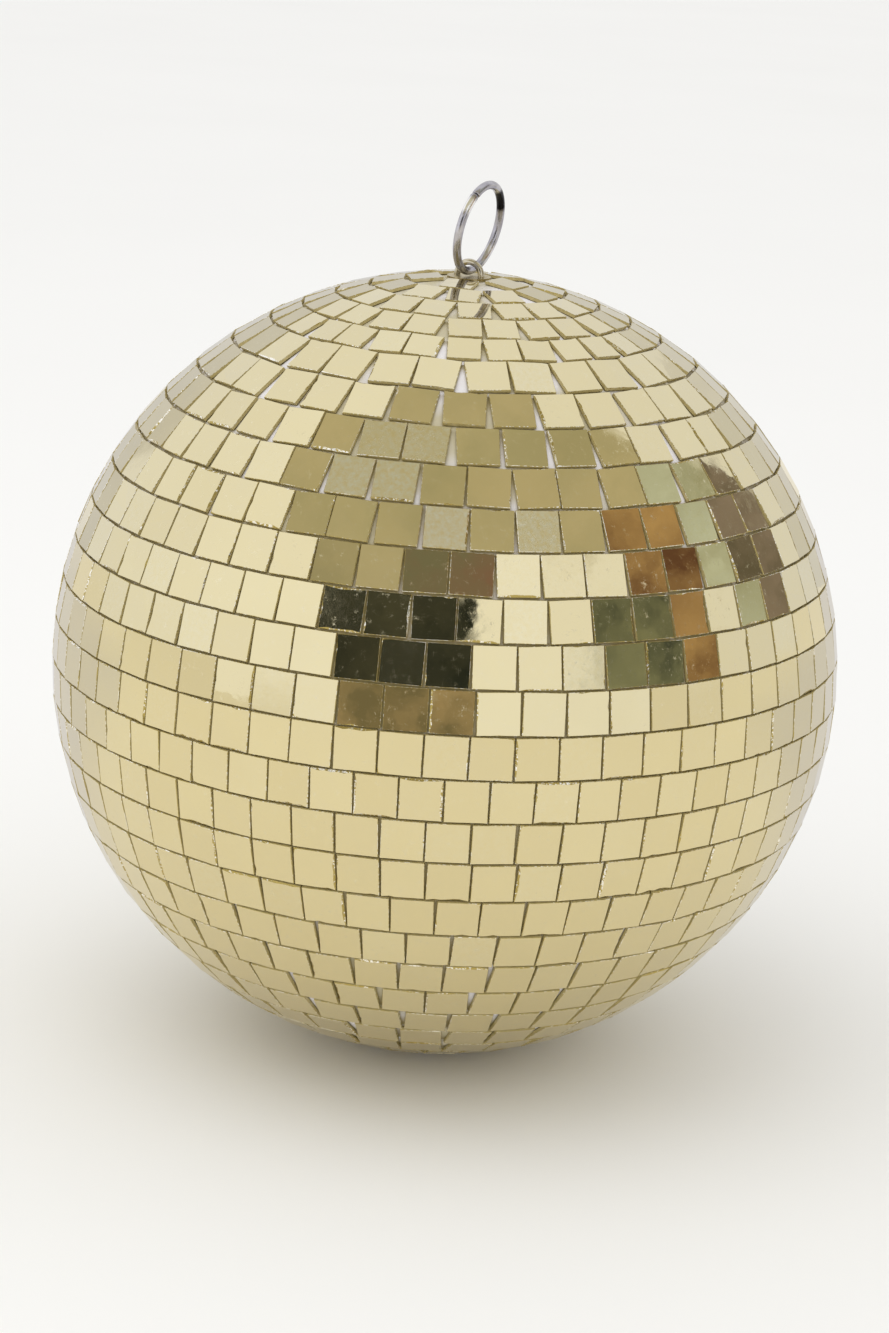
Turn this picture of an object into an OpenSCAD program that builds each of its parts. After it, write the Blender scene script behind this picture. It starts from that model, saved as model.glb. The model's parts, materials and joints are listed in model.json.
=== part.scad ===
// Mirror ball: a hollow two-part core covered in rows of square mirror tiles,
// hung by a wire ring that swings in a wire eyelet at the upper pole.
// Millimetres. The origin is the centre of the ball and +Z points up through the eyelet.

/* [Ball] */
// Diameter over the mirror tiles
ball_d = 200; // [199.5:0.5:204]
// Wall thickness of the hollow core
core_wall = 3; // [2.5:0.1:5]
// Height of the lip that locates the two halves of the core on each other
lip_h = 5; // [3:0.5:8]

/* [Mirror tiles] */
// Edge of a tile in the rows round the middle
wide_tile = 10; // [9.5:0.1:10]
// Edge of a tile in the rows near the poles
narrow_tile = 8; // [7:0.1:8]
// Thickness of the mirror glass
glass_t = 0.8; // [0.8:0.1:1.5]
// Bed of glue between a tile's back and the core
glue_t = 0.06; // [0.03:0.01:0.15]
// Smallest gap between two rows, corner to corner
row_gap = 0.14; // [0.12:0.02:0.3]
// Smallest gap between two tiles of a row, at their corners nearest the pole
side_gap = 0.16; // [0.12:0.02:0.3]
// How nearly parallel the two tiles of a pair are laid, from 0 to 1
pair_pull = 0.55; // [0:0.05:0.6]
// Largest turn of a hand-laid tile in its own plane, in degrees
laid_turn = 1.2; // [0:0.1:1.5]
// Largest tilt of a hand-laid tile out of its plane, in degrees
laid_tilt = 0.9; // [0:0.1:1.2]
// Seed of the scatter between hand-laid tiles
scatter_seed = 11; // [1:1:99]

/* [Hanging ring and eyelet] */
// Diameter over the hanging ring
ring_d = 24; // [20:0.5:32]
// Wire diameter of the hanging ring
ring_wire = 2.1; // [1.8:0.1:2.3]
// Lean of the ring from upright while the ball stands on something, in degrees
ring_lean = 10; // [0:1:12]
// Wire diameter of the eyelet
eyelet_wire = 1.6; // [1.4:0.1:1.8]
// Distance between the eyelet's two legs, centre to centre
leg_spacing = 6.6; // [6.2:0.1:6.8]
// Clearance between the ring's wire and the eyelet or the plug
ring_clear = 0.3; // [0.25:0.05:0.4]

/* [Pole fittings] */
// Diameter of the plug in the upper pole
plug_d = 11; // [10.6:0.1:11.2]
// Diameter of the plug's flange inside the core
flange_d = 20; // [18:1:26]
// Thickness of that flange
flange_t = 2; // [1.6:0.1:3]
// Diameter of the anchor plate under the plug
plate_d = 24; // [22:1:30]
// Thickness of the anchor plate
plate_t = 1.5; // [1:0.1:2]
// Reach of each bent leg end under the anchor plate, from the leg's axis
leg_reach = 7; // [5:0.5:7.5]

/* [Hidden] */
$fn = 96;

WIDE_ROWS = 10;   // rows of wide tiles on each half
NARROW_ROWS = 5;  // rows of narrow tiles on each half
HALF_ROWS = WIDE_ROWS + NARROW_ROWS;
ROWS = 2 * HALF_ROWS;
SEAMS = 8;        // strips of tiles meet at this many seams round each row of the upper half,
SEAM_FROM = 3;    // from this step up
SEAM_AT = -67;    // longitude of the first seam, in degrees
SEAM_PULL = 14;   // share of a row's spare room that all its seams take, against 1 for the widest other joint
LEAST_PULL = 0.02;  // share that the tightest joint takes
PULL_POWER = 4;   // the higher this is, the more of the joints are tight ones
ROW_TURN = 45;    // each row starts this many degrees further round than the last
REACH_AT = 1;     // a row's corners are measured this many degrees nearer the pole, where they stand out more
SINGLES = 0.25;   // share of the tiles that are laid singly and not in pairs
PAIR_TURN = 3;    // most that a tile is turned towards its partner, in degrees
PLUG_SUNK = 0.2;  // how far the plug's end lies under the tops of the tiles
BEND_RATIO = 0.75;  // radius of the bends in the eyelet's legs, against its wire's diameter
FIT = 0.05;       // clearance between assembled pieces
CUT = 1;          // how far a cut runs past the face that it opens

ball_r = ball_d / 2;
back_r = ball_r - glass_t;        // radius to the middle of a tile's back
core_r = back_r - glue_t;
core_in_r = core_r - core_wall;
lip_r = core_r - core_wall / 2;   // where the two halves' rims fit one inside the other

plug_top = ball_r - PLUG_SUNK;
ring_wire_r = ring_wire / 2;
ring_r = ring_d / 2 - ring_wire_r;                   // to the middle of the ring's wire
ring_low = plug_top + ring_clear + ring_wire_r;      // height of the ring's lowest wire centre
leg_r = leg_spacing / 2;
arch_top = ring_low + ring_wire_r + ring_clear + eyelet_wire / 2;
arch_mid = arch_top - leg_r;
flange_top = whole_tenth(sqrt(pow(core_in_r, 2) - pow(flange_d / 2, 2)) - FIT);
flange_low = flange_top - flange_t;
plate_low = flange_low - FIT - plate_t;
bend_r = BEND_RATIO * eyelet_wire;
foot_z = plate_low - bend_r;                         // a leg's bend starts just under the plate

SCATTERS = ["start", "turn", "tilt", "luck", "pairs"];

glass_colour = "#d8cc9a";
core_colour = "#dcd6dc";
chrome_colour = "#b8b8bc";
plug_colour = "#b9a873";

// A length rounded down to a whole tenth of a millimetre.
function whole_tenth(length) = floor(length * 10) / 10;

// --- Layout of the tile rows ---------------------------------------------

function row_name(k) = str("tile_row_", k < 10 ? "0" : "", k);

// Rows are counted from 1 at the upper pole. A row's step is its place from the equator, from 0.
function row_step(k) = k <= HALF_ROWS ? HALF_ROWS - k : k - HALF_ROWS - 1;
function step_tile(s) = s < WIDE_ROWS ? wide_tile : narrow_tile;
function arc_deg(length) = length / back_r * 180 / PI;

// How far the outer corners of a square tile of edge t stand past a row's straight edge,
// towards the next row, at colatitude c.
function corner_reach(t, c) = pow(t / 2, 2) / (2 * back_r * tan(c));

// How far each tile of a pair is turned towards the other.
function pair_turn(t, c) = min(PAIR_TURN, pair_pull * arc_deg(t) / tan(c) / 2);

// How far a turned tile's corners stand past where they would be if it were square to the row.
function turn_reach(t, c) = t / 2 * sin(laid_turn + pair_turn(t, c));

// Colatitude of the middle of step s, worked out from the equator towards the pole.
function step_colat(s) = s == 0
    ? 90 - arc_deg((wide_tile + row_gap) / 2 + turn_reach(wide_tile, 90 - REACH_AT))
    : let (
        near_t = step_tile(s - 1),
        far_t = step_tile(s),
        edge_c = step_colat(s - 1) - arc_deg(near_t / 2),
        near_reach = max(0, turn_reach(near_t, edge_c) - corner_reach(near_t, edge_c)),
        far_c = edge_c - REACH_AT,
        far_reach = turn_reach(far_t, far_c) + corner_reach(far_t, far_c)
    )
    edge_c - arc_deg(near_reach + row_gap + far_reach + far_t / 2);

// Longitude, from its middle, of the corner of a tile that is on side x (1 east, -1 west) and
// side y (1 poleward, -1 away), when the tile is turned by a.
function corner_lon(t, a, c, x, y) =
    atan2(t / 2 * (x * cos(a) - y * sin(a)),
        back_r * sin(c) - t / 2 * (x * sin(a) + y * cos(a)) * cos(c));

// Longitude that it takes on side x.
function side_lon(t, a, c, x) = max(x * corner_lon(t, a, c, x, 1), x * corner_lon(t, a, c, x, -1));

function gap_lon(t, c) = side_gap / (back_r * sin(c) - t / 2 * cos(c)) * 180 / PI;

function row_count(s) =
    let (t = step_tile(s), c = step_colat(s))
    floor(360 / (side_lon(t, laid_turn, c, 1) + side_lon(t, laid_turn, c, -1) + gap_lon(t, c)));

// 1 for the western tile of each pair, -1 for the eastern one and 0 for a single tile.
function pairing(luck, i = 0) = i >= len(luck)
    ? []
    : i == len(luck) - 1 || luck[i] < SINGLES
        ? concat([0], pairing(luck, i + 1))
        : concat([1, -1], pairing(luck, i + 2));

function sum(v, i = 0, total = 0) = i == len(v) ? total : sum(v, i + 1, total + v[i]);

// Distance in degrees from longitude a to the nearest seam.
function from_seam(a) =
    let (seams_away = (a - SEAM_AT) * SEAMS / 360)
    abs(seams_away - round(seams_away)) * 360 / SEAMS;

// Share of the row's spare room that the joint after tile i takes. In a row with seams it is a
// little at random, and much more at the joint nearest each seam. In the others it is nearly even.
function joint_share(i, n, start, luck, seamed) = !seamed
    ? 1 + luck
    : from_seam(start + (i + 0.5) * 360 / n) <= 180 / n
        ? SEAM_PULL / SEAMS
        : pow(luck, PULL_POWER) + LEAST_PULL;

// A seed of its own for each kind of scatter in each row.
function row_seed(k, kind) = scatter_seed + len(SCATTERS) * k + search([kind], SCATTERS)[0];

function running(v, i = 0, total = 0) =
    i == len(v) ? [] : concat([total], running(v, i + 1, total + v[i]));

// --- Sub-parts -----------------------------------------------------------

// A tile of edge t on the ball, its back one glue bed above the core.
module tile(t, colat, lon, turn = 0, tilt = [0, 0]) {
    rotate([0, 0, lon])
        rotate([0, colat, 0])
            translate([0, 0, back_r])
                rotate([tilt[0], tilt[1], turn])
                    translate([-t / 2, -t / 2, 0])
                        cube([t, t, glass_t]);
}

// Row k of the ball: tiles side by side round one latitude, with the row's spare room
// shared out unevenly between the joints.
module tile_row(k) {
    s = row_step(k);
    t = step_tile(s);
    c = step_colat(s);
    upper = k <= HALF_ROWS;
    n = row_count(s);
    start = rands(0, 360 / n, 1, row_seed(k, "start"))[0] + ROW_TURN * k;
    pairs = pairing(rands(0, 1, n, row_seed(k, "pairs")));
    laid = rands(-laid_turn, laid_turn, n, row_seed(k, "turn"));
    turns = [for (i = [0 : n - 1]) laid[i] + pairs[i] * pair_turn(t, c)];
    tilts = rands(-laid_tilt, laid_tilt, 2 * n, row_seed(k, "tilt"));
    luck = rands(0, 1, n, row_seed(k, "luck"));
    tight = [for (i = [0 : n - 1])
        side_lon(t, turns[i], c, 1) + side_lon(t, turns[(i + 1) % n], c, -1) + gap_lon(t, c)];
    share = [for (i = [0 : n - 1]) joint_share(i, n, start, luck[i], upper && s >= SEAM_FROM)];
    spare = 360 - sum(tight);
    lon = running([for (i = [0 : n - 1]) tight[i] + spare * share[i] / sum(share)]);
    color(glass_colour)
        for (i = [0 : n - 1])
            tile(t, upper ? c : 180 - c, start + lon[i], upper ? turns[i] : -turns[i],
                [tilts[2 * i], tilts[2 * i + 1]]);
}

// The single tile that closes the lower pole.
module pole_tile() {
    color(glass_colour) tile(narrow_tile, 180, 0);
}

// The upper right quarter of the core's section, which both halves are turned from.
module core_quarter() {
    intersection() {
        difference() {
            circle(r = core_r);
            circle(r = core_in_r);
        }
        square(core_r);
    }
}

// Upper half of the core: its lip reaches down inside the lower half, and the plug's hole is at the pole.
module upper_core() {
    color(core_colour)
        difference() {
            rotate_extrude()
                union() {
                    core_quarter();
                    translate([core_in_r, -lip_h]) square([lip_r - FIT - core_in_r, lip_h + FIT]);
                }
            translate([0, 0, flange_top - CUT])
                cylinder(d = plug_d + 2 * FIT, h = core_r - flange_top + 2 * CUT);
        }
}

// Lower half of the core, rebated inside its rim for the upper half's lip.
module lower_core() {
    color(core_colour)
        rotate_extrude()
            difference() {
                mirror([0, 1]) core_quarter();
                translate([0, -lip_h - FIT]) square([lip_r, lip_h + FIT + CUT]);
            }
}

// Plug glued into the upper pole: its flange bears on the inside of the core.
module pole_plug() {
    color(plug_colour)
        difference() {
            union() {
                translate([0, 0, flange_low]) cylinder(d = flange_d, h = flange_t);
                translate([0, 0, flange_low]) cylinder(d = plug_d, h = plug_top - flange_low);
            }
            leg_holes();
        }
}

// Steel plate under the plug that spreads the pull of the eyelet's bent legs.
module anchor_plate() {
    color(chrome_colour)
        difference() {
            translate([0, 0, plate_low]) cylinder(d = plate_d, h = plate_t);
            leg_holes();
        }
}

// The two holes that the eyelet's legs pass through.
module leg_holes() {
    for (side = [-1, 1])
        translate([side * leg_r, 0, foot_z])
            cylinder(d = eyelet_wire + 2 * FIT, h = plug_top - foot_z + CUT);
}

// Wire eyelet: an arch over the ring's wire, and two legs bent outwards under the anchor plate.
module eyelet() {
    color(chrome_colour)
        union() {
            translate([0, 0, arch_mid])
                rotate([90, 0, 0])
                    rotate_extrude(angle = 180)
                        translate([leg_r, 0]) circle(d = eyelet_wire);
            for (side = [0, 1])
                mirror([side, 0, 0])
                    eyelet_leg();
        }
}

// One leg of the eyelet, down through the plug and the plate, and bent outwards at its end.
module eyelet_leg() {
    translate([leg_r, 0, foot_z + bend_r])
        cylinder(d = eyelet_wire, h = arch_mid - foot_z - bend_r);
    translate([leg_r + bend_r, 0, foot_z + bend_r])
        rotate([90, 0, 0])
            rotate([0, 0, 180])
                rotate_extrude(angle = 90)
                    translate([bend_r, 0]) circle(d = eyelet_wire);
    translate([leg_r + bend_r, 0, foot_z])
        rotate([0, 90, 0])
            cylinder(d = eyelet_wire, h = leg_reach - bend_r);
}

// Round wire ring that the ball hangs by. It stands on the eyelet's pivot, across the eyelet's
// plane, and leans from upright towards +X.
module hanging_ring() {
    color(chrome_colour)
        translate([0, 0, ring_low])
            rotate([0, ring_lean, 0])
                translate([0, 0, ring_r])
                    rotate([0, 90, 0])
                        rotate_extrude()
                            translate([ring_r, 0]) circle(d = ring_wire);
}

hanging_ring();
eyelet();
pole_plug();
anchor_plate();
upper_core();
lower_core();
pole_tile();
for (k = [1 : ROWS])
    tile_row(k);
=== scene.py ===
import json
import math
import random

import bmesh
import bpy
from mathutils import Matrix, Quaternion, Vector

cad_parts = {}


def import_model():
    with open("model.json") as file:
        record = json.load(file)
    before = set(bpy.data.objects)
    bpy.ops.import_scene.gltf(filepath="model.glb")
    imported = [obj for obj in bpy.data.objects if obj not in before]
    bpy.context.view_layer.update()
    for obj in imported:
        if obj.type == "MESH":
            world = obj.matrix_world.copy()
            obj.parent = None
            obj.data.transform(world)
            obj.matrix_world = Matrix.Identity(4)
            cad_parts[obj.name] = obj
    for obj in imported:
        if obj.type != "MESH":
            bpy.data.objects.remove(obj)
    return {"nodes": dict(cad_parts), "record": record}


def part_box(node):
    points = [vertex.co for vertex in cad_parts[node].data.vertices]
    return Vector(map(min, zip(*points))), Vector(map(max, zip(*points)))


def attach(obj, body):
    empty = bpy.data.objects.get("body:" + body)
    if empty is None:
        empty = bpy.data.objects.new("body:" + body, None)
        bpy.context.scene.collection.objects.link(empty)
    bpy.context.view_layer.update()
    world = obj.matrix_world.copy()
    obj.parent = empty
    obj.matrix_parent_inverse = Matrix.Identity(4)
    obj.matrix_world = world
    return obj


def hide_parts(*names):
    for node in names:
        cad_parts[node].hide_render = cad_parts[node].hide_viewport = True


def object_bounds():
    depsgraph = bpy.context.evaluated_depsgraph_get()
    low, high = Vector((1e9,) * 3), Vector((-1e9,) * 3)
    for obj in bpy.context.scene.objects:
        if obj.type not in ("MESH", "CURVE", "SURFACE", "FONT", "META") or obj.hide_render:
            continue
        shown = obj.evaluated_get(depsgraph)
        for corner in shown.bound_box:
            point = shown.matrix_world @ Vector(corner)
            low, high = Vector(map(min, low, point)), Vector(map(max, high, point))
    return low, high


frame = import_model()
cad_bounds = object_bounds()

MM = 0.001
BALL = "ball"
RING = "ring"

# --- Camera: where it stands, as seen from the middle of the ball -------------
VIEW_AZIMUTH = 26.0      # degrees round from straight ahead
VIEW_ELEVATION = 15.5    # degrees above the ball's middle
VIEW_DISTANCE = 0.806    # from the middle of the ball
VIEW_LENS = 84.6         # mm, on the long side of the frame
SENSOR = 36.0            # mm, the long side of the frame
VIEW_ROLL = 3.6          # degrees that the ball's axis leans to the right
AIM_LOW = 1.3 * MM       # the camera aims this far under the ball's middle
NEAREST = 0.01           # the camera's clipping distances
FARTHEST = 50.0


# --- Small helpers --------------------------------------------------------------
def direction(azimuth, elevation):
    """Unit vector from the ball to a place at that azimuth and elevation."""
    a, e = math.radians(azimuth), math.radians(elevation)
    return Vector((math.sin(a) * math.cos(e), -math.cos(a) * math.cos(e), math.sin(e)))


def link(obj):
    bpy.context.scene.collection.objects.link(obj)
    return obj


def mesh_piece(name, bm, materials, body, nodes):
    """A new object from a bmesh, riding on a body in place of CAD nodes."""
    data = bpy.data.meshes.new(name)
    bm.to_mesh(data)
    bm.free()
    for m in materials:
        data.materials.append(m)
    piece = link(bpy.data.objects.new(name, data))
    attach(piece, body)
    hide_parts(*nodes)
    return piece


# --- Materials --------------------------------------------------------------------
class Shader:
    """A material with a Principled shader, and short calls to add nodes to it."""

    def __init__(self, name, **sockets):
        self.material = bpy.data.materials.new(name)
        self.material.use_nodes = True
        self.tree = self.material.node_tree
        self.main = self.tree.nodes["Principled BSDF"]
        for key, value in sockets.items():
            self.main.inputs[key.replace("_", " ")].default_value = value

    def add(self, kind, *inputs, **settings):
        node = self.tree.nodes.new("ShaderNode" + kind)
        for key, value in settings.items():
            setattr(node, key, value)
        for index, value in enumerate(inputs):
            if value is None:
                continue
            if isinstance(value, bpy.types.NodeSocket):
                self.tree.links.new(value, node.inputs[index])
            else:
                node.inputs[index].default_value = value
        return node

    def set(self, socket, value):
        self.tree.links.new(value, self.main.inputs[socket])

    def place(self):
        """The point on the object, in metres."""
        return self.add("TexCoord").outputs["Object"]

    def noise(self, vector, scale, detail=3.0, rough=0.5):
        """Noise from 0 to 1 with scale ripples to the metre."""
        node = self.add("TexNoise")
        self.tree.links.new(vector, node.inputs["Vector"])
        node.inputs["Scale"].default_value = scale
        node.inputs["Detail"].default_value = detail
        node.inputs["Roughness"].default_value = rough
        return node.outputs["Fac"]

    def remap(self, value, low, high, to_low=0.0, to_high=1.0):
        """Value spread from low..high to to_low..to_high, and held at those ends."""
        return self.add("MapRange", value, low, high, to_low, to_high).outputs[0]

    def math(self, operation, a, b=None):
        return self.add("Math", a, b, operation=operation).outputs[0]

    def attribute(self, name):
        return self.add("Attribute", attribute_name=name).outputs["Fac"]

    def mix(self, factor, a, b):
        """Colour that goes from a to b with the factor."""
        node = self.add("Mix", data_type="RGBA")
        sockets = [socket for socket in node.inputs if socket.enabled]
        for socket, value in zip(sockets, (factor, a, b)):
            if isinstance(value, bpy.types.NodeSocket):
                self.tree.links.new(value, socket)
            elif isinstance(value, tuple):
                socket.default_value = (*value, 1.0)
            else:
                socket.default_value = value
        return next(socket for socket in node.outputs if socket.enabled)

    def bump(self, height, strength, distance):
        node = self.add("Bump")
        node.inputs["Strength"].default_value = strength
        node.inputs["Distance"].default_value = distance
        self.tree.links.new(height, node.inputs["Height"])
        self.set("Normal", node.outputs[0])


GOLD_DEEP = (0.745, 0.655, 0.395)
GOLD_PALE = (0.790, 0.705, 0.440)
GOLD_CLOUD = (0.73, 0.64, 0.39)
SILVERY_HAZE = (0.80, 0.80, 0.70)
DUST = (0.90, 0.88, 0.80)


def gold_mirror():
    """Front of a tile: tinted mirror glass with smudges and dust, a slight ripple, and haze on some."""
    s = Shader("gold_mirror_glass", Metallic=1.0, Coat_Weight=0.5, Coat_IOR=1.5, Coat_Roughness=0.02)
    spot = s.place()
    haze = s.attribute("haze")
    gold = s.mix(s.attribute("tint"), GOLD_DEEP, GOLD_PALE)
    cloud = s.remap(s.noise(spot, scale=60.0), low=0.35, high=0.7, to_high=0.3)
    gold = s.mix(cloud, gold, GOLD_CLOUD)
    worn = s.remap(s.noise(spot, scale=900.0, detail=6.0, rough=0.7), low=0.35, high=0.65)
    gold = s.mix(s.math("MULTIPLY", haze, worn), gold, SILVERY_HAZE)
    dust = s.remap(s.noise(spot, scale=520.0, detail=9.0, rough=0.8), low=0.57, high=0.75, to_high=0.35)
    s.set("Base Color", s.mix(dust, gold, DUST))
    s.set("Metallic", s.math("SUBTRACT", 1.0, s.math("MULTIPLY", dust, 0.6)))
    smears = s.noise(spot, scale=160.0, detail=6.0, rough=0.65)
    smudge = s.remap(smears, low=0.5, high=0.8, to_low=0.015, to_high=0.09)
    rough = s.math("ADD", smudge, s.math("MULTIPLY", haze, 0.3))
    s.set("Roughness", s.math("ADD", rough, dust))
    s.bump(s.noise(spot, scale=220.0, detail=2.0), strength=0.12, distance=0.04 * MM)
    return s.material


ARRIS_GOLD = (0.47, 0.37, 0.12)
# Colour of the painted glints on the arris.
PAINTED_GLINT = (1.0, 0.98, 0.92)


def arris_glass():
    """The chipped edge round a tile's front: gold-brown broken glass, with painted glints: noise specks of
    near-white base colour.
    """
    s = Shader("chipped_arris", Metallic=0.9)
    spot = s.place()
    # Painted glints: noise specks on the arris turn near-white in the base colour.
    lively = s.math("MULTIPLY", s.noise(spot, scale=45.0, detail=2.0), 0.5)
    broken = s.noise(spot, scale=1700.0, detail=5.0, rough=0.6)
    glint_mask = s.remap(s.math("ADD", broken, lively), low=0.76, high=0.82)
    s.set("Base Color", s.mix(glint_mask, ARRIS_GOLD, PAINTED_GLINT))
    s.set("Roughness", s.remap(s.noise(spot, scale=900.0), low=0.3, high=0.7, to_low=0.08, to_high=0.3))
    s.bump(s.noise(spot, scale=2400.0, detail=4.0, rough=0.7), strength=0.6, distance=0.1 * MM)
    return s.material


OLIVE_DARK = (0.36, 0.29, 0.11)
OLIVE_LIGHT = (0.64, 0.54, 0.27)


def cut_glass():
    """Snapped side of a tile: olive glass with the ridges that the cut leaves."""
    s = Shader("cut_glass_side", Specular_IOR_Level=0.3)
    spot = s.place()
    s.set("Base Color", s.mix(s.noise(spot, scale=900.0, detail=4.0), OLIVE_DARK, OLIVE_LIGHT))
    s.set("Roughness", s.remap(s.noise(spot, scale=500.0), low=0.3, high=0.7, to_low=0.1, to_high=0.4))
    s.bump(s.noise(spot, scale=1800.0, detail=5.0, rough=0.7), strength=0.6, distance=0.1 * MM)
    return s.material


PAINT_DARK = (0.16, 0.13, 0.10)
PAINT_LIGHT = (0.24, 0.20, 0.16)


def back_paint():
    """Protective paint on the back of the mirror."""
    s = Shader("mirror_back_paint", Roughness=0.7)
    s.set("Base Color", s.mix(s.noise(s.place(), scale=400.0), PAINT_DARK, PAINT_LIGHT))
    return s.material


CORE_DARK = (0.70, 0.67, 0.70)
CORE_LIGHT = (0.88, 0.87, 0.88)
GLUE_FILM = (0.56, 0.51, 0.36)
# Painted shade down in narrow joints.
JOINT_SHADE_BROWN = (0.36, 0.29, 0.12)
JOINT_SHADE_REACH = 1.2 * MM    # painted brown shade fills joints narrower than about this


def core_plastic():
    """Pale moulded plastic under the tiles, glue smeared in places, and painted brown shade down in the
    joints, where ambient occlusion finds them enclosed.
    """
    s = Shader("core_moulded_plastic", Specular_IOR_Level=0.3)
    spot = s.place()
    bare = s.mix(s.noise(spot, scale=260.0, detail=6.0, rough=0.7), CORE_DARK, CORE_LIGHT)
    film = s.remap(s.noise(spot, scale=38.0), low=0.46, high=0.56)
    bare = s.mix(film, bare, GLUE_FILM)
    # Painted shade: where ambient occlusion finds a narrow joint, the core turns dark brown.
    open_to_sky = s.add("AmbientOcclusion")
    open_to_sky.inputs["Distance"].default_value = JOINT_SHADE_REACH
    painted_joint_shade = s.remap(open_to_sky.outputs["AO"], low=0.42, high=0.72, to_low=1.0, to_high=0.0)
    s.set("Base Color", s.mix(painted_joint_shade, bare, JOINT_SHADE_BROWN))
    s.set("Roughness", s.remap(s.noise(spot, scale=340.0), low=0.3, high=0.7, to_low=0.45, to_high=0.75))
    s.bump(s.noise(spot, scale=1200.0, detail=4.0), strength=0.4, distance=0.1 * MM)
    return s.material


def plated_steel(name, light, dark, smoothest, roughest):
    """Plated steel with faint drawing marks and small stains."""
    s = Shader(name, Metallic=1.0)
    spot = s.place()
    stain = s.remap(s.noise(spot, scale=500.0, detail=5.0, rough=0.6), low=0.35, high=0.7)
    s.set("Base Color", s.mix(stain, light, dark))
    marks = s.noise(spot, scale=900.0)
    s.set("Roughness", s.remap(marks, low=0.3, high=0.7, to_low=smoothest, to_high=roughest))
    s.bump(s.noise(spot, scale=2500.0), strength=0.2, distance=0.03 * MM)
    return s.material


NICKEL_DARK = (0.36, 0.35, 0.40)
NICKEL_LIGHT = (0.52, 0.51, 0.56)
NICKEL_WORN = (0.70, 0.69, 0.73)

# Patches on the ring's plate, one of them a painted highlight: degrees round from its top towards its
# joint, reach along the wire, and colour.
RING_PATCHES_AND_HIGHLIGHT = [
    (-50, 3.7 * MM, (0.02, 0.02, 0.025)),   # near-black patch
    (54, 2.2 * MM, (0.95, 0.95, 0.97)),     # painted highlight
    (-128, 1.0 * MM, (0.85, 0.85, 0.88)),   # brighter patch
]
RAGGED = 1.2 * MM        # how unevenly they end


def ring_nickel(shape):
    """Dull nickel plate on the ring: grey, with patches that are worn brighter, a near-black patch, a
    brighter patch and a painted highlight.
    """
    s = Shader("dull_nickel_plate", Metallic=1.0)
    spot = s.place()
    tarnish = s.remap(s.noise(spot, scale=260.0, detail=5.0), low=0.35, high=0.65)
    worn = s.remap(s.noise(spot, scale=90.0, detail=4.0), low=0.54, high=0.68)
    plate = s.mix(worn, s.mix(tarnish, NICKEL_DARK, NICKEL_LIGHT), NICKEL_WORN)
    ragged = s.math("MULTIPLY", s.noise(spot, scale=700.0, detail=4.0, rough=0.6), RAGGED)
    # A near-black patch, a brighter patch and a painted highlight go into the plate colour.
    for angle, reach, patch_colour in RING_PATCHES_AND_HIGHLIGHT:
        point = shape.wire_point(math.radians(angle))
        distance = s.add("VectorMath", spot, point, operation="DISTANCE").outputs["Value"]
        edge = s.math("ADD", distance, ragged)
        inside = s.remap(edge, low=reach, high=reach + RAGGED, to_low=1.0, to_high=0.0)
        plate = s.mix(inside, plate, patch_colour)
    s.set("Base Color", plate)
    s.set("Roughness", s.remap(s.noise(spot, scale=900.0), low=0.3, high=0.7, to_low=0.14, to_high=0.3))
    s.bump(s.noise(spot, scale=2200.0, detail=4.0, rough=0.6), strength=0.3, distance=0.05 * MM)
    return s.material


BRASS_DARK = (0.48, 0.40, 0.22)
BRASS_LIGHT = (0.66, 0.58, 0.36)
LATHE_RINGS = 24000.0    # radians of turning marks to the metre of radius


def satin_brass():
    """Turned plug face with fine lathe rings round the ball's axis."""
    s = Shader("satin_brass", Metallic=1.0)
    spot = s.place()
    flat = s.add("VectorMath", spot, (1.0, 1.0, 0.0), operation="MULTIPLY").outputs[0]
    radius = s.add("VectorMath", flat, operation="LENGTH").outputs["Value"]
    rings = s.math("SINE", s.math("MULTIPLY", radius, LATHE_RINGS))
    s.set("Base Color", s.mix(s.noise(spot, scale=300.0, detail=5.0), BRASS_DARK, BRASS_LIGHT))
    s.set("Roughness", s.remap(s.noise(spot, scale=700.0), low=0.3, high=0.7, to_low=0.22, to_high=0.42))
    s.bump(rings, strength=0.2, distance=0.03 * MM)
    return s.material


# --- Tiles --------------------------------------------------------------------------
AT_POLE = 0.01          # sine of the angle from the axis within which a tile is the pole's own
WELD = 0.001 * MM       # points of the CAD mesh closer than this are one corner
SIDE_STEPS = 6          # points along each side of a tile
CHAMFER = 0.08 * MM     # ground arris round the front
JITTER = 0.03 * MM      # how uneven a snapped edge is
CHIP_CHANCE = 0.07      # share of the points where the arris is chipped
CHIP = 0.35 * MM        # size of the largest chips
BROKEN_CHANCE = 0.09    # share of the sides that snapped unevenly
BROKEN = 0.5 * MM       # how far such a side is broken back at most
BROKEN_LEAST = 0.3      # share of that at its shallowest
CHIP_DEPTH = 0.6        # a chip's depth against its width
FRONT, ARRIS, SIDE, BACK = range(4)     # a tile's material slots
FAINT_HAZE = 0.25       # most haze on an ordinary tile
HAZE_RARITY = 5         # the higher, the fewer tiles come near that
SEED = 5                # of every random draw in the tiles

# Hazy, scratched tiles, as longitude and degrees down from the upper pole.
HAZY_TILES = [(-78, 45), (-71, 45), (-79, 51), (-72, 51), (-67, 57), (-53, 57)]
HAZY_REACH = 3.0        # degrees from such a place to the middle of the tile that is hazy
HAZY_LEAST = 0.7        # least haze on such a tile


def ball_point(longitude, down):
    """Unit vector from the ball's middle to a place, by longitude and degrees down from the upper pole."""
    a, d = math.radians(longitude), math.radians(down)
    return Vector((math.cos(a) * math.sin(d), math.sin(a) * math.sin(d), math.cos(d)))


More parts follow.
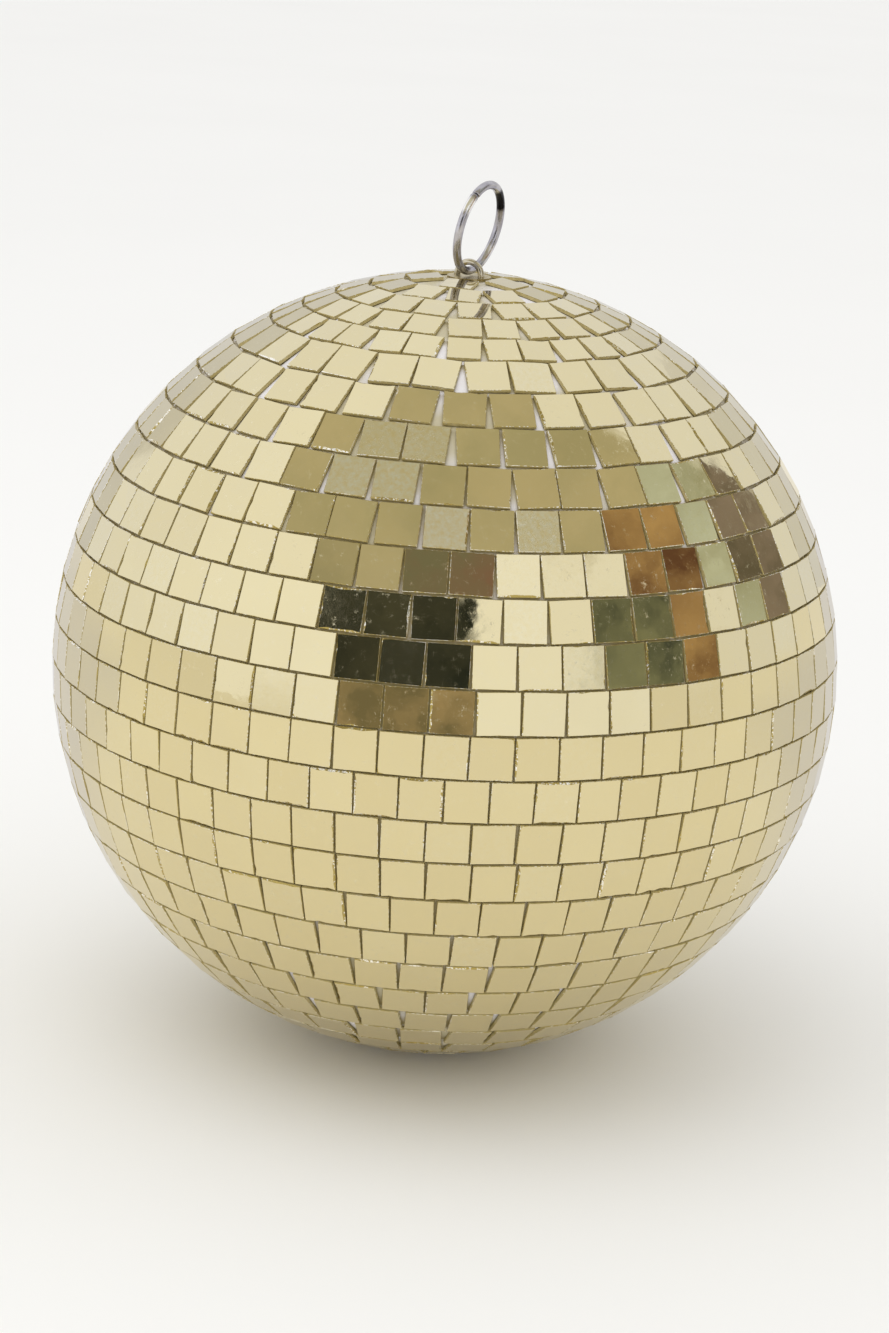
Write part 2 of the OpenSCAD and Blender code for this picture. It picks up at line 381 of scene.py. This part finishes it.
def islands(node):
    """The corner points of each separate solid in a CAD node."""
    bm = bmesh.new()
    bm.from_mesh(frame["nodes"][node].data)
    bmesh.ops.remove_doubles(bm, verts=bm.verts, dist=WELD)
    found, seen = [], set()
    for first in bm.verts:
        if first in seen:
            continue
        group, edge_of = [], [first]
        seen.add(first)
        while edge_of:
            v = edge_of.pop()
            group.append(v.co.copy())
            for e in v.link_edges:
                other = e.other_vert(v)
                if other not in seen:
                    seen.add(other)
                    edge_of.append(other)
        found.append(group)
    bm.free()
    return found


def tile_axes(corners):
    """Middle of a tile's back, its outward, sideways and upward axes, its edge and its thickness."""
    ordered = sorted(corners, key=lambda p: p.length)
    back, front = ordered[:4], ordered[4:]
    middle = sum(back, Vector()) / 4
    out = sum(front, Vector()) / 4 - middle
    thickness = out.length
    out.normalize()
    near = sorted(back[1:], key=lambda p: (p - back[0]).length)[:2]
    sides = [(p - back[0]) for p in near]
    east = Vector((0, 0, 1)).cross(out)
    if east.length < AT_POLE:
        east = Vector((1, 0, 0))
    side = max(sides, key=lambda d: abs(d.dot(east)))
    edge = side.length
    side = side.normalized() * (1 if side.dot(east) > 0 else -1)
    return middle, out, side, out.cross(side), edge, thickness


def add_tile(bm, tint, haze, axes, luck):
    """One mirror tile: flat front inside an uneven, chipped arris, snapped sides and a painted back."""
    middle, out, side, up, edge, thickness = axes
    half = edge / 2
    corners = [(-half, -half), (half, -half), (half, half), (-half, half)]
    rings = [[], [], []]
    for k in range(4):
        (x0, y0), (x1, y1) = corners[k], corners[(k + 1) % 4]
        broken = luck.random() < BROKEN_CHANCE
        for i in range(SIDE_STEPS):
            f = i / SIDE_STEPS
            x, y = x0 + (x1 - x0) * f, y0 + (y1 - y0) * f
            chip = CHIP * luck.random() ** 2 if luck.random() < CHIP_CHANCE else 0.0
            if broken and i:
                chip = BROKEN * luck.uniform(BROKEN_LEAST, 1.0)
            rough = JITTER * luck.random()
            for ring, inset, depth in (
                (0, CHAMFER + rough + chip, 0.0),
                (1, rough, CHAMFER + chip * CHIP_DEPTH),
                (2, rough / 2, thickness),
            ):
                nx = x * (1 - inset / half)
                ny = y * (1 - inset / half)
                p = middle + side * nx + up * ny + out * (thickness - depth)
                rings[ring].append(bm.verts.new(p))
    count = 4 * SIDE_STEPS
    tint_layer = bm.faces.layers.float["tint"]
    haze_layer = bm.faces.layers.float["haze"]
    made = [bm.faces.new(rings[0])]
    made[0].material_index = FRONT
    for slot, upper, lower in ((ARRIS, rings[0], rings[1]), (SIDE, rings[1], rings[2])):
        for i in range(count):
            j = (i + 1) % count
            f = bm.faces.new([upper[i], lower[i], lower[j], upper[j]])
            f.material_index = slot
            made.append(f)
    back = bm.faces.new(list(reversed(rings[2])))
    back.material_index = BACK
    made.append(back)
    for f in made:
        f[tint_layer] = tint
        f[haze_layer] = haze


def tile_piece(name, node, materials, luck):
    """All the tiles of one CAD node, each made in detail where the CAD solid stands."""
    bm = bmesh.new()
    bm.faces.layers.float.new("tint")
    bm.faces.layers.float.new("haze")
    for corners in islands(node):
        axes = tile_axes(corners)
        tint = luck.random()
        haze = FAINT_HAZE * luck.random() ** HAZE_RARITY
        out = axes[1]
        if any(out.angle(ball_point(*place)) < math.radians(HAZY_REACH) for place in HAZY_TILES):
            haze = luck.uniform(HAZY_LEAST, 1.0)
        add_tile(bm, tint, haze, axes, luck)
    return mesh_piece(name, bm, materials, BALL, [node])


# --- Hanging ring -----------------------------------------------------------------------
RING_TURNS = 192         # steps round the ring
WIRE_STEPS = 24          # steps round the wire
JOINT_AT = 36.0          # degrees from the top of the ring to its butt joint
JOINT_GAP = 0.3 * MM
JOINT_SOFT = 0.35 * MM   # radius of the rounding at the wire's ends
SOFT_STEPS = 4           # steps round it


class RingShape:
    """The CAD ring's place, read from its box and its joint: pivot, wire radius, ring radius and lean."""

    def __init__(self):
        low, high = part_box("hanging_ring")
        self.pivot = Vector(frame["record"]["behaviour"]["joints"][0]["pos_m"])
        self.wire = self.pivot.z - low.z
        self.radius = (high.y - low.y) / 2 - self.wire
        lean = math.asin(((high.x - low.x) / 2 - self.wire) / self.radius)
        self.turn_over = Quaternion((0, 1, 0), lean)

    def wire_point(self, angle, outward=0.0, sideways=0.0):
        """A point beside the wire's middle line, by the angle round from the ring's top."""
        radial = Vector((0, -math.sin(angle), math.cos(angle)))
        upright = Vector((sideways, 0, self.radius)) + radial * (self.radius + outward)
        return self.pivot + self.turn_over @ upright


def ring_piece():
    """Wire ring, its two ends meeting at a narrow butt joint with softened ends."""
    shape = RingShape()
    wire, radius = shape.wire, shape.radius
    gap = JOINT_GAP / radius / 2
    start = math.radians(JOINT_AT)
    bm = bmesh.new()
    stations = [(gap, wire - JOINT_SOFT)]
    for i in range(1, SOFT_STEPS + 1):
        turn = math.pi / 2 * i / SOFT_STEPS
        along = gap + JOINT_SOFT * (1 - math.cos(turn)) / radius
        stations.append((along, wire - JOINT_SOFT + JOINT_SOFT * math.sin(turn)))
    first = stations[-1][0]
    span = 2 * math.pi - 2 * first
    middle_part = [(first + span * i / RING_TURNS, wire) for i in range(1, RING_TURNS)]
    stations += middle_part + [(2 * math.pi - a, r) for a, r in reversed(stations)]
    rows = []
    for a, r in stations:
        row = []
        for j in range(WIRE_STEPS):
            b = 2 * math.pi * j / WIRE_STEPS
            point = shape.wire_point(start + a, outward=r * math.cos(b), sideways=r * math.sin(b))
            row.append(bm.verts.new(point))
        rows.append(row)
    for a, b in zip(rows, rows[1:]):
        for j in range(WIRE_STEPS):
            k = (j + 1) % WIRE_STEPS
            bm.faces.new([a[j], a[k], b[k], b[j]])
    bm.faces.new(list(reversed(rows[0])))
    bm.faces.new(rows[-1])
    bmesh.ops.recalc_face_normals(bm, faces=bm.faces)
    for f in bm.faces:
        f.smooth = len(f.verts) == 4
    return mesh_piece("chrome_ring", bm, [ring_nickel(shape)], RING, ["hanging_ring"])


# --- Object ---------------------------------------------------------------------------------
WIRE_LIGHT = (0.66, 0.61, 0.50)
WIRE_DARK = (0.46, 0.42, 0.32)
ZINC_LIGHT = (0.55, 0.56, 0.58)
ZINC_DARK = (0.42, 0.43, 0.46)


def build_object():
    """All the detailed pieces, and materials for the CAD nodes that stay."""
    luck = random.Random(SEED)
    tile_materials = [gold_mirror(), arris_glass(), cut_glass(), back_paint()]
    nodes = sorted(n for n in frame["nodes"] if n.startswith("tile_row_"))
    for node in nodes:
        tile_piece("mirror_" + node, node, tile_materials, luck)
    tile_piece("mirror_pole_tile", "pole_tile", tile_materials, luck)
    ring_piece()
    dress = {
        "eyelet": plated_steel("nickel_wire", WIRE_LIGHT, WIRE_DARK, smoothest=0.14, roughest=0.3),
        "pole_plug": satin_brass(),
        "anchor_plate": plated_steel("zinc_plate", ZINC_LIGHT, ZINC_DARK, smoothest=0.3, roughest=0.5),
        "upper_core": core_plastic(),
        "lower_core": core_plastic(),
    }
    for node, material in dress.items():
        data = frame["nodes"][node].data
        data.materials.clear()
        data.materials.append(material)


# --- Stage -------------------------------------------------------------------------------------
FLOOR_SIZE = 6.0         # from the middle to each edge
FLOOR_CLEAR = 0.1 * MM   # between the ball's lowest point and the floor
FLOOR_DARK = (0.90, 0.90, 0.89)
FLOOR_LIGHT = (0.93, 0.93, 0.92)

# How the floor looks in the tiles, all painted light and shade: painted warm light, turning to painted grey
# shade behind the ball, and painted warm light again far away.
FLOOR_PAINTED_WARM = (0.88, 0.845, 0.745)
FLOOR_PAINTED_SHADE = (0.71, 0.70, 0.71)
PAINTED_SHADE_BEHIND = 0.12       # so far behind the ball's middle it is all painted shade
PAINTED_SHADE_UNTIL = 0.9         # from so far away on the painted shade gives way to painted warm light
PAINTED_WARM_BEYOND = 1.3        # and beyond this it is all painted warm light

STUDIO_WHITE = (1.0, 0.995, 0.985)
WORLD_LEVEL = 0.93
# Directions that the studio is brighter in, and by how much.
BRIGHTER = [(direction(VIEW_AZIMUTH, 35), 0.10), (direction(VIEW_AZIMUTH - 70, 20), 0.05)]
CARD_DISTANCE = 1.5      # from the ball's middle to the cards that it mirrors


def floor():
    """Pale floor that the ball stands on; in the tiles it shows painted light and shade, a little darker
    than to the camera, warm, and grey behind the ball.
    """
    z = cad_bounds[0].z - FLOOR_CLEAR
    corners = [(FLOOR_SIZE * x, FLOOR_SIZE * y, z) for x, y in ((-1, -1), (1, -1), (1, 1), (-1, 1))]
    data = bpy.data.meshes.new("floor")
    data.from_pydata(corners, [], [(0, 1, 2, 3)])
    s = Shader("studio_floor", Roughness=0.9, Specular_IOR_Level=0.1)
    spot = s.place()
    pale = s.mix(s.noise(spot, scale=3.0), FLOOR_DARK, FLOOR_LIGHT)
    behind = s.add("VectorMath", spot, direction(VIEW_AZIMUTH + 180, 0), operation="DOT_PRODUCT")
    painted_shade_mask = s.remap(behind.outputs["Value"], low=0.0, high=PAINTED_SHADE_BEHIND)
    away = s.add("VectorMath", spot, operation="LENGTH").outputs["Value"]
    near = s.remap(away, low=PAINTED_SHADE_UNTIL, high=PAINTED_WARM_BEYOND, to_low=1.0, to_high=0.0)
    # Painted warm light and painted shade behind the ball, which only the tiles see.
    painted_in_tiles = s.mix(s.math("MULTIPLY", painted_shade_mask, near), FLOOR_PAINTED_WARM, FLOOR_PAINTED_SHADE)
    mirrored = s.add("LightPath").outputs["Is Glossy Ray"]
    s.set("Base Color", s.mix(mirrored, pale, painted_in_tiles))
    data.materials.append(s.material)
    link(bpy.data.objects.new("floor", data))


def world():
    """Even white studio, a little brighter in front and to the left."""
    studio = bpy.data.worlds.new("studio")
    bpy.context.scene.world = studio
    studio.use_nodes = True
    tree = studio.node_tree
    background = tree.nodes["Background"]
    background.inputs["Color"].default_value = (*STUDIO_WHITE, 1)
    coords = tree.nodes.new("ShaderNodeTexCoord").outputs["Generated"]
    level = None
    for towards, gain in BRIGHTER:
        dot = tree.nodes.new("ShaderNodeVectorMath")
        dot.operation = "DOT_PRODUCT"
        dot.inputs[1].default_value = towards
        tree.links.new(coords, dot.inputs[0])
        sum_up = tree.nodes.new("ShaderNodeMath")
        sum_up.operation = "MULTIPLY_ADD"
        tree.links.new(dot.outputs["Value"], sum_up.inputs[0])
        sum_up.inputs[1].default_value = gain
        sum_up.inputs[2].default_value = WORLD_LEVEL
        if level is not None:
            tree.links.new(level, sum_up.inputs[2])
        level = sum_up.outputs[0]
    tree.links.new(level, background.inputs["Strength"])


def card(name, east, up, width, height, light, dark):
    """A mottled card facing the ball, that many degrees wide and high, which only mirrors see."""
    towards = direction(VIEW_AZIMUTH + east, up)
    side = Vector((0, 0, 1)).cross(towards).normalized()
    top = towards.cross(side)
    half_w = CARD_DISTANCE * math.tan(math.radians(width / 2))
    half_h = CARD_DISTANCE * math.tan(math.radians(height / 2))
    middle = towards * CARD_DISTANCE
    corners = [
        middle + side * (half_w * x) + top * (half_h * y)
        for x, y in ((-1, -1), (1, -1), (1, 1), (-1, 1))
    ]
    data = bpy.data.meshes.new(name)
    data.from_pydata(corners, [], [(0, 1, 2, 3)])
    s = Shader(name)
    mottle = s.remap(s.noise(s.place(), scale=9.0, detail=6.0, rough=0.65), low=0.38, high=0.62)
    glow = s.add("Emission", s.mix(mottle, light, dark))
    s.tree.links.new(glow.outputs[0], s.tree.nodes["Material Output"].inputs["Surface"])
    s.material.cycles.emission_sampling = "NONE"
    data.materials.append(s.material)
    obj = link(bpy.data.objects.new(name, data))
    obj.visible_camera = False
    obj.visible_diffuse = False
    obj.visible_shadow = False
    obj.visible_transmission = False


# Cards round the ball that give the mirror tiles something dark or coloured to show: degrees east
# of the camera, degrees up, degrees wide and high, and the two colours that the card is mottled with.
CARDS = {
    "overhead_card": (0, 72, 88, 50, (0.57, 0.51, 0.35), (0.45, 0.42, 0.28)),
    "khaki_card": (-32, 41, 30, 13, (0.52, 0.47, 0.33), (0.40, 0.37, 0.25)),
    "camera_card": (-13, 18, 38, 24, (0.07, 0.07, 0.05), (0.015, 0.02, 0.018)),
    "brown_card": (1, 38, 22, 9, (0.26, 0.14, 0.11), (0.20, 0.19, 0.13)),
    "tan_card": (-6, -1, 32, 11, (0.56, 0.42, 0.25), (0.20, 0.17, 0.10)),
    "dark_card": (52, 16, 24, 26, (0.30, 0.31, 0.20), (0.07, 0.08, 0.06)),
    "rust_card": (78, 24, 20, 40, (0.56, 0.37, 0.18), (0.14, 0.07, 0.04)),
    "green_card": (98, 26, 16, 40, (0.66, 0.72, 0.66), (0.34, 0.34, 0.22)),
    "mauve_card": (114, 18, 14, 28, (0.36, 0.29, 0.26), (0.14, 0.12, 0.09)),
    "left_wall_card": (-158, 10, 44, 32, (0.72, 0.71, 0.70), (0.66, 0.65, 0.64)),
    "right_wall_card": (158, 10, 44, 32, (0.74, 0.73, 0.71), (0.68, 0.67, 0.65)),
}


def cards():
    """All the cards of the table above."""
    for name, place in CARDS.items():
        card(name, *place)


KEY_AZIMUTH = VIEW_AZIMUTH - 50
KEY_ELEVATION = 65
KEY_DISTANCE = 1.6
KEY_SIZE = 1.4
KEY_WATTS = 3.5


def key_light():
    """Large soft lamp above and to the left, which the tiles don't mirror."""
    data = bpy.data.lights.new("key", "AREA")
    data.shape = "DISK"
    data.size = KEY_SIZE
    data.energy = KEY_WATTS
    lamp = link(bpy.data.objects.new("key", data))
    towards = direction(KEY_AZIMUTH, KEY_ELEVATION)
    lamp.location = towards * KEY_DISTANCE
    lamp.rotation_mode = "QUATERNION"
    lamp.rotation_quaternion = towards.to_track_quat("Z", "Y")
    lamp.visible_glossy = False


def camera():
    """Camera at the photograph's viewing angle."""
    data = bpy.data.cameras.new("camera")
    data.lens = VIEW_LENS
    data.sensor_width = SENSOR
    data.clip_start = NEAREST
    data.clip_end = FARTHEST
    cam = link(bpy.data.objects.new("camera", data))
    cam.location = direction(VIEW_AZIMUTH, VIEW_ELEVATION) * VIEW_DISTANCE
    target = Vector((0, 0, -AIM_LOW))
    turn = (cam.location - target).to_track_quat("Z", "Y")
    cam.rotation_mode = "QUATERNION"
    cam.rotation_quaternion = turn @ Quaternion((0, 0, 1), math.radians(VIEW_ROLL))
    bpy.context.scene.camera = cam


camera()
world()
floor()
cards()
key_light()
build_object()
bpy.context.scene.view_settings.view_transform = "Standard"
